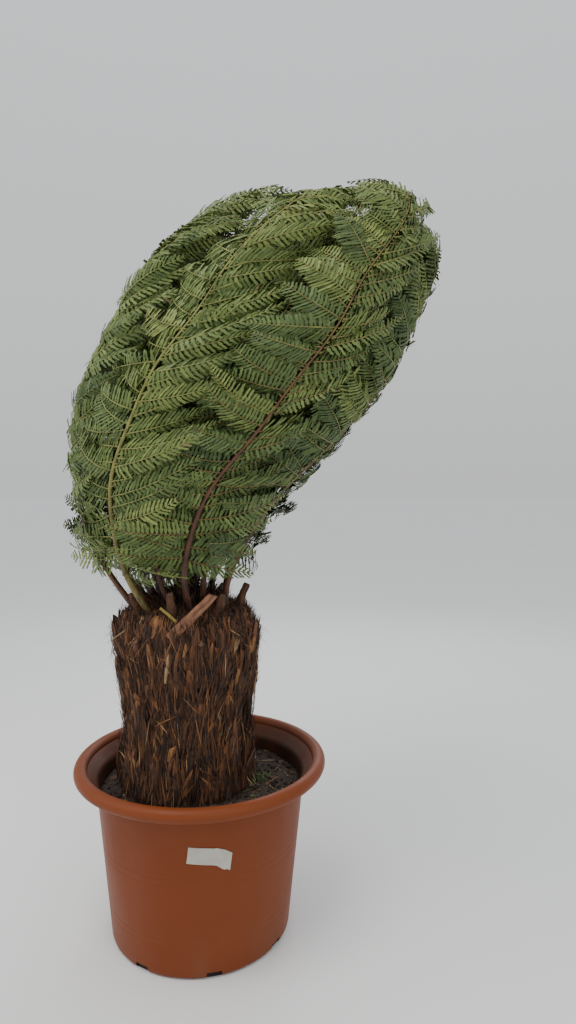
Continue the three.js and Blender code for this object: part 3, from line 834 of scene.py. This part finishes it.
# Cut stalk bases stand round the head, one under each outer frond and one in each gap.
# They are dry brown stalk with a paler cut end. One flat stalk leans across the front, and
# beside it lies a thin one that was cut while it was still yellow.
STUBS = 14
STUB_RADIUS = 0.011
STUB_LENGTH = 0.088
STUB_SPREAD = math.radians(24)
STUB_RIM = 0.0016
FLAT_STUB_SIZE = (0.023, 0.009, 0.128)
FLAT_STUB_PLACE = (-0.004, -0.146, 0.737)
FLAT_STUB_LEAN = math.radians(43)
FLAT_STUB_TILT = math.radians(-12)
FLAT_STUB_ROUND = 0.0035
YELLOW_STUB_ENDS = ((-0.034, -0.141, 0.722), (-0.074, -0.130, 0.754))
YELLOW_STUB_RADII = (0.0042, 0.0030)
CROWN_TURN = -72


def split_long_edges(shape, shortest, cuts):
    edges = [e for e in shape.edges if e.calc_length() > shortest]
    bmesh.ops.subdivide_edges(shape, edges=edges, cuts=cuts, use_grid_fill=True)


shape = bmesh.new()
for i in range(STUBS):
    in_gap = i % 2 == 1
    length = STUB_LENGTH * (0.8 + 0.07 * (i % 5) if in_gap else 0.75)
    spot = (0.112, 0, TRUNK_HEAD - 0.03) if in_gap else (0.138, 0, TRUNK_SIDE[2][1] - 0.012)
    turn = math.radians(CROWN_TURN + 360 * i / STUBS)
    stand = Matrix.Translation((TRUNK_X, 0, 0)) @ Matrix.Rotation(turn, 4, "Z")
    stand = stand @ Matrix.Translation(spot)
    stand = stand @ Matrix.Rotation(STUB_SPREAD * (1 if in_gap else 1.5), 4, "Y")
    stand = stand @ Matrix.Translation((0, 0, 0.28 * length))
    made = bmesh.ops.create_cone(
        shape, cap_ends=True, segments=16, radius1=1.3 * STUB_RADIUS, radius2=0.7 * STUB_RADIUS,
        depth=length, matrix=stand,
    )
    faces = {f for v in made["verts"] for f in v.link_faces}
    cut_end = max(faces, key=lambda f: len(f.verts) * 10 + f.calc_center_median().z)
    bmesh.ops.inset_individual(shape, faces=[cut_end], thickness=STUB_RIM, depth=-0.0018)
    cut_end.material_index = 1
split_long_edges(shape, STUB_LENGTH / 2, 12)
for vert in shape.verts:
    rough = ripple(vert.co.x * 260, vert.co.y * 260, vert.co.z * 45)
    vert.co += vert.normal * 0.0022 * (rough + ripple(*vert.co * 40))
bmesh.ops.recalc_face_normals(shape, faces=shape.faces)
stub_bark = Finish("stub_bark", 0.85)
stub_grain = stub_bark.patches(0.36, 0.66, 90, 5, (1, 1, 0.18))
stub_bark.colour(stub_grain, (0.022, 0.010, 0.006), (0.115, 0.045, 0.018))
stub_bark.bump(stub_grain + stub_bark.mottle(240), 0.6, 0.0015)
stub_pith = Finish("stub_pith", 0.9)
pith_grain = stub_pith.mottle(320, 4)
stub_pith.colour(pith_grain, (0.05, 0.024, 0.012), (0.2, 0.115, 0.058))
stub_pith.bump(pith_grain, 0.5, 0.001)
fix(model("stalk_stubs", shape, [stub_bark, stub_pith]), "trunk_fibre", "trunk")

shape = bmesh.new()
stand = Matrix.Translation(FLAT_STUB_PLACE) @ Matrix.Rotation(FLAT_STUB_LEAN, 4, "Y")
stand = stand @ Matrix.Rotation(FLAT_STUB_TILT, 4, "X")
bmesh.ops.create_cube(shape, size=1, matrix=Matrix.Diagonal((*FLAT_STUB_SIZE, 1)))
round_edges(shape, [e for e in shape.edges if e.calc_length() > 0.1], FLAT_STUB_ROUND, 3)
split_long_edges(shape, 0.1, 30)
for vert in shape.verts:
    rise = vert.co.z / FLAT_STUB_SIZE[2]
    groove_line = 0.0016 * math.exp(-(vert.co.x / 0.004) ** 2)
    vert.co.y += groove_line if vert.co.y < 0 else 0
    vert.co.x *= 1.06 - 0.2 * (rise + 0.5)
    vert.co.x += 0.0022 * math.sin(3 * rise)
    torn = max(0, rise - 0.42) / 0.08
    vert.co.z += torn * (0.45 * vert.co.x + 0.006 * ripple(*vert.co * 260))
    vert.co += vert.normal * 0.0009 * ripple(vert.co.x * 420, vert.co.y * 300, rise * 7)
    vert.co = stand @ vert.co
bmesh.ops.recalc_face_normals(shape, faces=shape.faces)
pale_stalk = Finish("pale_stalk", 0.65)
stain = pale_stalk.patches(0.45, 0.7, 46, 4)
along_stalk = {0: pale_stalk.place, "Rotation": (0, FLAT_STUB_LEAN, 0), "Scale": (1, 1, 14)}
pale_stalk.place = pale_stalk.node("ShaderNodeMapping", {"vector_type": "TEXTURE"}, along_stalk)
grain = pale_stalk.patches(0.36, 0.66, 190, 5)
wood = pale_stalk.mix(grain, (0.105, 0.035, 0.014), (0.29, 0.125, 0.058))
pale_stalk.colour(stain * 0.5, wood, (0.07, 0.025, 0.011))
pale_stalk.bump(grain, 0.5, 0.0012)
fix(model("flat_stub", shape, [pale_stalk], smooth=True), "trunk_fibre", "trunk")

shape = bmesh.new()
foot, tip = (Vector(end) for end in YELLOW_STUB_ENDS)
stand = (tip - foot).to_track_quat("Z", "Y").to_matrix().to_4x4()
bmesh.ops.create_cone(
    shape, cap_ends=True, segments=14, radius1=YELLOW_STUB_RADII[0], radius2=YELLOW_STUB_RADII[1],
    depth=(tip - foot).length, matrix=Matrix.Translation((foot + tip) / 2) @ stand,
)
split_long_edges(shape, 0.02, 10)
for vert in shape.verts:
    vert.co += vert.normal * 0.0007 * ripple(*vert.co * 130)
    vert.co.z += 0.003 * ripple(*vert.co * 24)
for face in shape.faces:
    face.smooth = len(face.verts) == 4
yellow_stalk = grained("yellow_stalk", (0.24, 0.175, 0.03), 0.55, 90)
fix(model("yellow_stub", shape, [yellow_stalk]), "trunk_fibre", "trunk")


# Fronds stand in three whorls on the trunk's head, gathered upright so that the crown
# leans and closes in a dome. Every whorl keeps to one shell inside the crown's outline.
CROWN_FOOT = 0.712
CROWN_TOP = 1.7
CROWN_FOOT_HALF_WIDTH = 0.108
CROWN_HALF_WIDTH = 0.36
CROWN_WAIST = 0.6
CROWN_OPENING = 1.3
CROWN_DOME = 4.5
CROWN_LEAN = 0.35
CROWN_LEAN_POWER = 1.6
CROWN_SAG = 0.06
CROWN_SAG_END = 0.7
CROWN_DEPTH_SHARE = 0.86
CROWN_TWIST = math.radians(26)
WHORL_COLUMNS = (
    "name", "fronds", "turn", "width", "height", "outward", "foot", "pitch", "tip_pitch", "inward",
    "blade", "age",
)
WHORL_ROWS = (
    ("outer", 7, CROWN_TURN, 1.0, 1.0, 0.02, 0.163, 0.032, 0.022, 1.0, 0.0088, 0.0),
    ("middle", 6, -98, 0.68, 0.93, 0.08, 0.135, 0.042, 0.030, 1.0, 0.0100, 0.08),
    ("inner", 5, -60, 0.36, 0.86, 0.08, 0.125, 0.050, 0.036, 0.9, 0.0110, 0.2),
)
WHORLS = [dict(zip(WHORL_COLUMNS, row)) for row in WHORL_ROWS]
STALK = 0.122
RIB_WIDTH_FOOT = 0.017
RIB_WIDTH_TIP = 0.004
LEAFLET_REACH = 0.17
LEAFLET_SWEEP = -0.12
LEAFLET_SWEEP_TIP = 0.72
LEAFLET_CURL = 0.022
LEAFLET_FLARE = 0.07
LEAFLET_FLARE_END = 0.3
FROND_GAP = 0.012
FROND_ENDS = (0.955, 0.85, 0.965, 0.9, 0.935, 0.87, 0.945)
FROND_FULLNESS = (1, 0.94, 0.985, 0.92, 0.97)
FROND_STEPS = 400
LOW_LIMIT = 0.03
WANDER_START = 0.25
TINY = 1e-3


def rise_at(step):
    """The height of a step as a share of the crown's. Steps draw closer where the dome closes."""
    return 1 - (1 - step) ** 2


def crown_half_width(rise):
    opened = np.sin(np.pi / 2 * np.clip(rise / CROWN_WAIST, 0, 1) ** CROWN_OPENING)
    low = CROWN_FOOT_HALF_WIDTH + (CROWN_HALF_WIDTH - CROWN_FOOT_HALF_WIDTH) * opened
    closed = np.clip((rise - CROWN_WAIST) / (1 - CROWN_WAIST), 0, 1)
    return np.where(rise < CROWN_WAIST, low, CROWN_HALF_WIDTH * np.sqrt(1 - closed**CROWN_DOME))


def crown_centre(rise):
    sag = np.clip(rise / CROWN_SAG_END, 0, 1)
    lean = CROWN_LEAN * np.clip(rise, 0, None) ** CROWN_LEAN_POWER
    return TRUNK_X + lean - CROWN_SAG * 6.75 * sag * (1 - sag) ** 2


class Frond:
    """One frond's place in its whorl, and its shell measured in metres along the rib."""

    def __init__(self, whorl, number):
        self.whorl = whorl
        self.number = number
        self.name = f"{whorl['name']}_{number + 1}"
        self.turn = math.radians(whorl["turn"] + number * 360 / whorl["fronds"])
        self.fullness = FROND_FULLNESS[number % len(FROND_FULLNESS)]
        self.steps = np.linspace(0, FROND_ENDS[(number * 3) % len(FROND_ENDS)], FROND_STEPS)
        rib = self.shell(self.steps, self.rib_turn(self.steps))
        gaps = np.linalg.norm(np.diff(rib, axis=0), axis=1)
        self.lengths = np.concatenate(([0], np.cumsum(gaps)))
        self.length = float(self.lengths[-1])

    def rib_turn(self, step):
        return self.turn + CROWN_TWIST * rise_at(step) ** 2

    def shell(self, step, turn):
        rise = rise_at(step)
        full = 1 + (self.fullness - 1) * rise
        half = self.whorl["width"] * full * crown_half_width(rise)
        height = self.whorl["height"] * (1 + 0.4 * (full - 1))
        x = crown_centre(rise) + half * np.cos(turn)
        y = CROWN_DEPTH_SHARE * half * np.sin(turn)
        return np.stack((x, y, CROWN_FOOT + height * rise * (CROWN_TOP - CROWN_FOOT)), axis=-1)

    def half_width(self, step):
        return self.whorl["width"] * crown_half_width(rise_at(step))

    def arc_radius(self, step):
        turn = self.rib_turn(step)
        return self.half_width(step) * np.hypot(np.sin(turn), CROWN_DEPTH_SHARE * np.cos(turn))

    def step_at(self, s):
        return np.interp(s, self.lengths, self.steps)

    def rib_width(self, s):
        return RIB_WIDTH_FOOT + (RIB_WIDTH_TIP - RIB_WIDTH_FOOT) * s / self.length

    def share(self, s):
        return np.clip((s - STALK) / (self.length - STALK), 0, 1)

    def wander(self, s):
        """How far a living rib strays to the side of its true line, and off the shell."""
        free = np.clip(s / WANDER_START, 0, 1) ** 2
        sideways = 0.007 * np.sin(9 * s + 2.1 * self.number) + 0.004 * np.sin(23 * s + self.number)
        inwards = -0.005 + 0.005 * np.sin(11 * s + 1.3 * self.number)
        return free * sideways, free * inwards

    def bend(self, s, v=0.0, w=0.0):
        """Places along the rib, across it and off the shell, bent onto the shell."""
        step = self.step_at(np.clip(s, 0, self.length))
        sideways, inwards = self.wander(s)
        past = np.maximum(0, np.abs(v) - self.rib_width(s) / 2)
        flare = np.clip(self.share(s) / LEAFLET_FLARE_END, 0, 1)
        curl = (-LEAFLET_FLARE + (LEAFLET_CURL + LEAFLET_FLARE) * flare) * (past / LEAFLET_REACH) ** 2
        out = w + inwards
        limit = self.whorl["outward"] + LOW_LIMIT * (1 - flare)
        out = np.where(out > 0, limit * np.tanh(out / limit), out)
        turn = self.rib_turn(step) - (v + sideways) / self.arc_radius(step)
        on = self.shell(step, turn)
        up = self.shell(step + TINY, turn) - on
        around = self.shell(step, turn + TINY) - on
        ahead = np.maximum(0, s - self.length)[..., None] * unit(up)
        return on + unit(np.cross(around, up)) * (out - curl)[..., None] + ahead

    def sector(self, s):
        """Half the width of the shell that is this frond's own at a place along it."""
        step = self.step_at(min(s, self.length))
        return float(self.arc_radius(step)) * math.pi / self.whorl["fronds"] - FROND_GAP / 2

    def depth_room(self, s):
        """How far a leaflet pressed inwards may run without leaving the crown on its other side."""
        return 0.05 + 0.4 * float(self.half_width(self.step_at(min(s, self.length))))


# Each frond's leaflets are sprays of fine toothed blades on a thin midrib. They are soft
# living leaf, olive green, yellower at the tips and inside. Some sprays lie on the shell, and
# others are pressed inwards, or out to the next shell, and fill the gathered crown.
BLADE_LENGTH = 0.037
BLADE_FULLNESS = 0.88
BLADE_SLANT = math.radians(72)
BLADE_CELLS = 4
BLADE_BOW = 0.12
BLADE_SAG = 0.16
BLADE_SHORTEST = 0.006
SPRAY_OVERLAP = 1.3
SPRAY_SPARE = 0.045
SPRAY_FULL_REACH = 0.13
DOME_START = 0.35
SPRAY_START = 0.004
TWIG_STATIONS = 6
TWIG_SIDES = 4
TWIG_RADII = (0.0018, 0.0007)
RIB_STATIONS = 84
RIB_SIDES = 8
RIB_RADIUS_TIP = 0.0014
RIB_RADIUS_GROWTH = 0.0064
RIB_TINTS = 12
GREENS = (
    (0.038, 0.061, 0.022), (0.059, 0.092, 0.030), (0.083, 0.122, 0.037), (0.113, 0.157, 0.044),
    (0.149, 0.194, 0.053), (0.198, 0.238, 0.066), (0.258, 0.285, 0.084), (0.21, 0.165, 0.07),
)
DRY_SHARE = 0.002
RIB_STOPS = (0.0, 0.2, 0.42, 0.7, 1.0)
RIB_COLOURS = (
    (0.050, 0.017, 0.010), (0.105, 0.034, 0.016), (0.15, 0.072, 0.025),
    (0.20, 0.17, 0.042), (0.24, 0.25, 0.062),
)
RIB_GREENNESS = (-0.05, 0.12, -0.1, 0.3, 0.0, 0.2, 0.45)
grow = np.random.default_rng(7)

green_finishes = [grained(f"leaf_green_{i + 1}", c, 0.5, 70) for i, c in enumerate(GREENS)]
for finish in green_finishes:
    finish.set("Specular IOR Level", 0.25)
rib_finishes = []
for i in range(RIB_TINTS):
    at = i / (RIB_TINTS - 1)
    colour = tuple(float(np.interp(at, RIB_STOPS, channel)) for channel in zip(*RIB_COLOURS))
    finish = Finish(f"rib_{i + 1}")
    streak = finish.patches(0.35, 0.7, 80, 4, (1, 1, 0.2))
    finish.colour(streak, shade(colour, 0.55), shade(colour, 1.15))
    finish.bump(finish.mottle(300, 3, (1, 1, 0.2)), 0.4, 0.0008)
    rib_finishes.append(finish)


def leaf_outline(share):
    """The width of a leaf form, as a share of its widest, at a share of its length."""
    return math.sin(math.pi * min(0.97, 0.16 + 0.84 * share) ** 0.8) ** 0.5


def toothed_blade(cells):
    """One toothed blade along x from 0 to 1, folded a little at its middle, and its faces."""
    points = []
    for i in range(cells):
        tooth = i % 2
        half = 0.5 * leaf_outline(i / cells) * (1.0 if tooth else 0.6) if i else 0.16
        edge = i / cells + (0.45 / cells if tooth else 0.0)
        points += [(edge, -half, 0.14 * half), (i / cells, 0, 0), (edge, half, 0.14 * half)]
    points.append((1, 0, 0))
    end = 3 * (cells - 1)
    faces = []
    for i in range(0, end, 3):
        faces += [(i, i + 3, i + 4, i + 1), (i + 1, i + 4, i + 5, i + 2)]
    faces += [(end, end + 3, end + 1), (end + 1, end + 3, end + 2)]
    return np.array(points), faces


blade_points, blade_faces = toothed_blade(BLADE_CELLS)


def tube(points, radii, sides, start):
    """A closed round tube along a row of points, and its faces, numbered from the start."""
    along = unit(np.gradient(points, axis=0))
    side = unit(np.cross(along, (0.31, 0.17, 0.93)))
    other = np.cross(along, side)
    turns = np.linspace(0, 2 * np.pi, sides, endpoint=False)[:, None]
    body = points[:, None] + swing(side[:, None], other[:, None], turns) * radii[:, None, None]
    end = start + (len(points) - 1) * sides
    faces = []
    for row in range(start, end, sides):
        for k in range(sides):
            j = (k + 1) % sides
            faces.append((row + k, row + j, row + sides + j, row + sides + k))
    faces.append(tuple(range(start + sides - 1, start - 1, -1)))
    faces.append(tuple(range(end, end + sides)))
    return body.reshape(-1, 3), faces


def lay_out_sprays(frond):
    """Where sprays stand along the rib, how far they reach and how they slant."""
    pitch, tip_pitch = frond.whorl["pitch"], frond.whorl["tip_pitch"]
    start = frond.whorl["foot"]
    while start < frond.length - 0.5 * tip_pitch:
        share = float(frond.share(start))
        sweep = LEAFLET_SWEEP + (LEAFLET_SWEEP_TIP - LEAFLET_SWEEP) * share
        reach = LEAFLET_REACH * leaf_outline(share)
        yield start, min(reach, SPRAY_OVERLAP * frond.sector(start) + SPRAY_SPARE), sweep, share
        start += pitch + (tip_pitch - pitch) * share


def grow_spray(frond, root, along, curve, span, size):
    """One midrib bent onto the shell, and the two rows of blades on it before they are bent.

    Places are distances along the rib, across it and off the shell."""
    d = np.linspace(0, span, TWIG_STATIONS)[:, None]
    twig = frond.bend(*(root + along * d + curve * d**2).T)
    blade_pitch = frond.whorl["blade"]
    count = max(3, int(span / blade_pitch))
    at = (np.arange(count)[:, None] + 0.6) / count * span
    part = at / span
    heading = unit(along + 2 * curve * at)
    beside = unit(np.array((1.0, 0.0, 0.0)) - heading * heading[:, :1])
    upright = np.cross(beside, heading)
    upright = upright * np.sign(upright[:, 2:])
    roll = grow.normal(0, 0.36)
    beside, upright = swing(beside, upright, roll), swing(upright, -beside, roll)
    profile = np.minimum(1, 0.66 + part * 4) * (1 - part**2.6) ** 0.7
    longest = BLADE_LENGTH * (0.42 + 0.58 * size)
    width = BLADE_FULLNESS * blade_pitch * (0.5 + 0.5 * profile) * (0.72 + 0.28 * size)
    x, y, z = blade_points.T[..., None]
    rows = []
    for way in (-1, 1):
        slope = BLADE_SLANT * (1 - 0.35 * part) + grow.normal(0, 0.05, (count, 1))
        lift = grow.normal(-0.1, 0.1, (count, 1))
        reach = swing(swing(heading, way * beside, slope), upright, lift)
        face = unit(upright - reach * np.sum(upright * reach, axis=1, keepdims=True))
        face = swing(face, np.cross(reach, face), grow.normal(0, 0.3, (count, 1)))
        length = np.maximum(BLADE_SHORTEST, longest * profile * grow.uniform(0.88, 1.1, (count, 1)))
        row = (root + along * at + curve * at**2)[:, None] + (reach * length)[:, None] * x
        row = row + (np.cross(face, reach) * width)[:, None] * y + (face * width)[:, None] * z
        bowed = (heading * BLADE_BOW - face * BLADE_SAG) * length
        rows.append(row + bowed[:, None] * x**2)
    return twig, rows


def grow_frond(frond, nodes):
    """A frond's rib and midribs as one piece, and all its fine blades as another."""
    whorl = frond.whorl
    rib_points, rib_faces, rib_dealt = [], [], []
    blades, blade_tints = [], []
    colour_shift = RIB_GREENNESS[frond.number] + grow.uniform(-0.03, 0.03)
    frond_tone = grow.normal(0, 0.12)
    across_gap = -1 if whorl is WHORLS[0] else 1

    def rib_tint(share):
        return int(np.clip(round((share + colour_shift) * RIB_TINTS), 0, RIB_TINTS - 1))

    def add_tube(points, radii, sides):
        body, faces = tube(points, radii, sides, sum(len(p) for p in rib_points))
        rib_points.append(body)
        rib_faces.extend(faces)
        return len(faces)

    def add_spray(spring, side, share, along, curve, span, size, tone):
        root = np.array((spring, side * SPRAY_START, 0.002))
        twig, rows = grow_spray(frond, root, unit(np.array(along)), np.array(curve), span, size)
        radii = np.linspace(*TWIG_RADII, TWIG_STATIONS) * (0.6 + 0.4 * size)
        faces = add_tube(twig, radii, TWIG_SIDES)
        rib_dealt.extend([rib_tint(0.55 + 0.35 * share + grow.normal(0, 0.08))] * faces)
        for row in rows:
            tints = np.rint(tone * 3.6 + 2.3 + grow.normal(0, 0.4, len(row)))
            dry = grow.uniform(0, 1, len(row)) < DRY_SHARE
            blades.append(row)
            blade_tints.append(np.where(dry, len(GREENS) - 1, np.clip(tints, 0, len(GREENS) - 2)))

    s = np.linspace(0.0, frond.length, RIB_STATIONS)
    thin = (1 - s / frond.length) ** 2.4
    add_tube(frond.bend(s), RIB_RADIUS_TIP + RIB_RADIUS_GROWTH * thin, RIB_SIDES)
    tints = [rib_tint(0.05 + 0.85 * i / RIB_STATIONS) for i in range(RIB_STATIONS - 1)]
    rib_dealt += [*np.repeat(tints, RIB_SIDES), tints[0], tints[-1]]

    for middle, reach, sweep, share in lay_out_sprays(frond):
        size = min(1.0, reach / SPRAY_FULL_REACH)
        low = max(0.0, 1 - share / LEAFLET_FLARE_END)
        for side in (-1, 1):
            tone = whorl["age"] + 0.3 * share + frond_tone + grow.normal(0, 0.22)
            far = reach * grow.uniform(0.9, 1.14)
            slant = sweep + grow.normal(0, 0.17)
            rise = grow.uniform(-0.22, 0.2) + 0.15 * low
            curve = (grow.uniform(0.8, 2.7) * (1 - 0.5 * share), 0.0, -grow.uniform(0.2, 1.3) * (1 - low))
            spring = middle + grow.normal(0, 0.006)
            span = far * math.hypot(1, slant)
            add_spray(spring, side, share, (slant, side, rise), curve, span, size, tone)
            for way in (-1, across_gap)[: 2 if share > DOME_START else 1]:
                if grow.uniform() > whorl["inward"] * (1 - low):
                    continue
                # Sprays pressed into the crown get darker greens, as older leaf and as painted shade.
                inner_tone_aged_and_shaded = tone - 0.14 + grow.normal(0, 0.1)
                slant = sweep * 0.6 + grow.normal(0.1, 0.25)
                dive = way * grow.uniform(0.35, 1.5)
                curve = (grow.uniform(-0.5, 1.5), 0.0, grow.uniform(-0.5, 1.5))
                spring = middle + whorl["pitch"] * grow.uniform(0.2, 0.8)
                deep = min(far * 0.85, frond.depth_room(spring))
                add_spray(spring, side, share, (slant, side, dive), curve, deep, size, inner_tone_aged_and_shaded)

    points = frond.bend(*np.moveaxis(np.concatenate(blades), -1, 0))
    array_piece(
        f"blades_{frond.name}", "frond_green", points, blade_faces, green_finishes,
        np.concatenate(blade_tints), nodes, smooth=True,
    )
    array_piece(
        f"ribs_{frond.name}", "frond_green", np.concatenate(rib_points), rib_faces, rib_finishes,
        rib_dealt, nodes, smooth=True,
    )


# Brown hairs and scales clothe the lowest hand's breadth of every stalk. They are dry and
# soft, and stand out from the stalk and upwards.
HAIRS = 90
HAIR_TOP = 0.15
HAIR_ROOT = 0.0062
hair_rows = []

for whorl in WHORLS:
    for number in range(whorl["fronds"]):
        frond = Frond(whorl, number)
        grow_frond(frond, sorted(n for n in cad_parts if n.startswith(f"frond_{frond.name}")))
        s = grow.uniform(0.0, 1.0, HAIRS) ** 1.4 * HAIR_TOP
        foot = frond.bend(s)
        up = unit(frond.bend(s + TINY) - foot)
        out = unit(np.cross(up, grow.normal(0, 1, (HAIRS, 3))))
        along = unit(up * grow.uniform(0.3, 1.3, HAIRS)[:, None] + out)
        hair_rows.append((foot + out * HAIR_ROOT, along, unit(np.cross(up, out)), out))

hair_root, hair_along, hair_across, hair_out = (np.concatenate(row) for row in zip(*hair_rows))
hair_count = len(hair_root)
strands(
    "stalk_hairs", "trunk_fibre", hair_root, hair_along, hair_across,
    grow.uniform(0.006, 0.02, hair_count), grow.uniform(0.0006, 0.0018, hair_count), hair_out,
    grow.uniform(-0.002, 0.004, hair_count), fibre_finishes,
    grow.choice(5, hair_count, p=(0.1, 0.25, 0.3, 0.25, 0.1)),
)
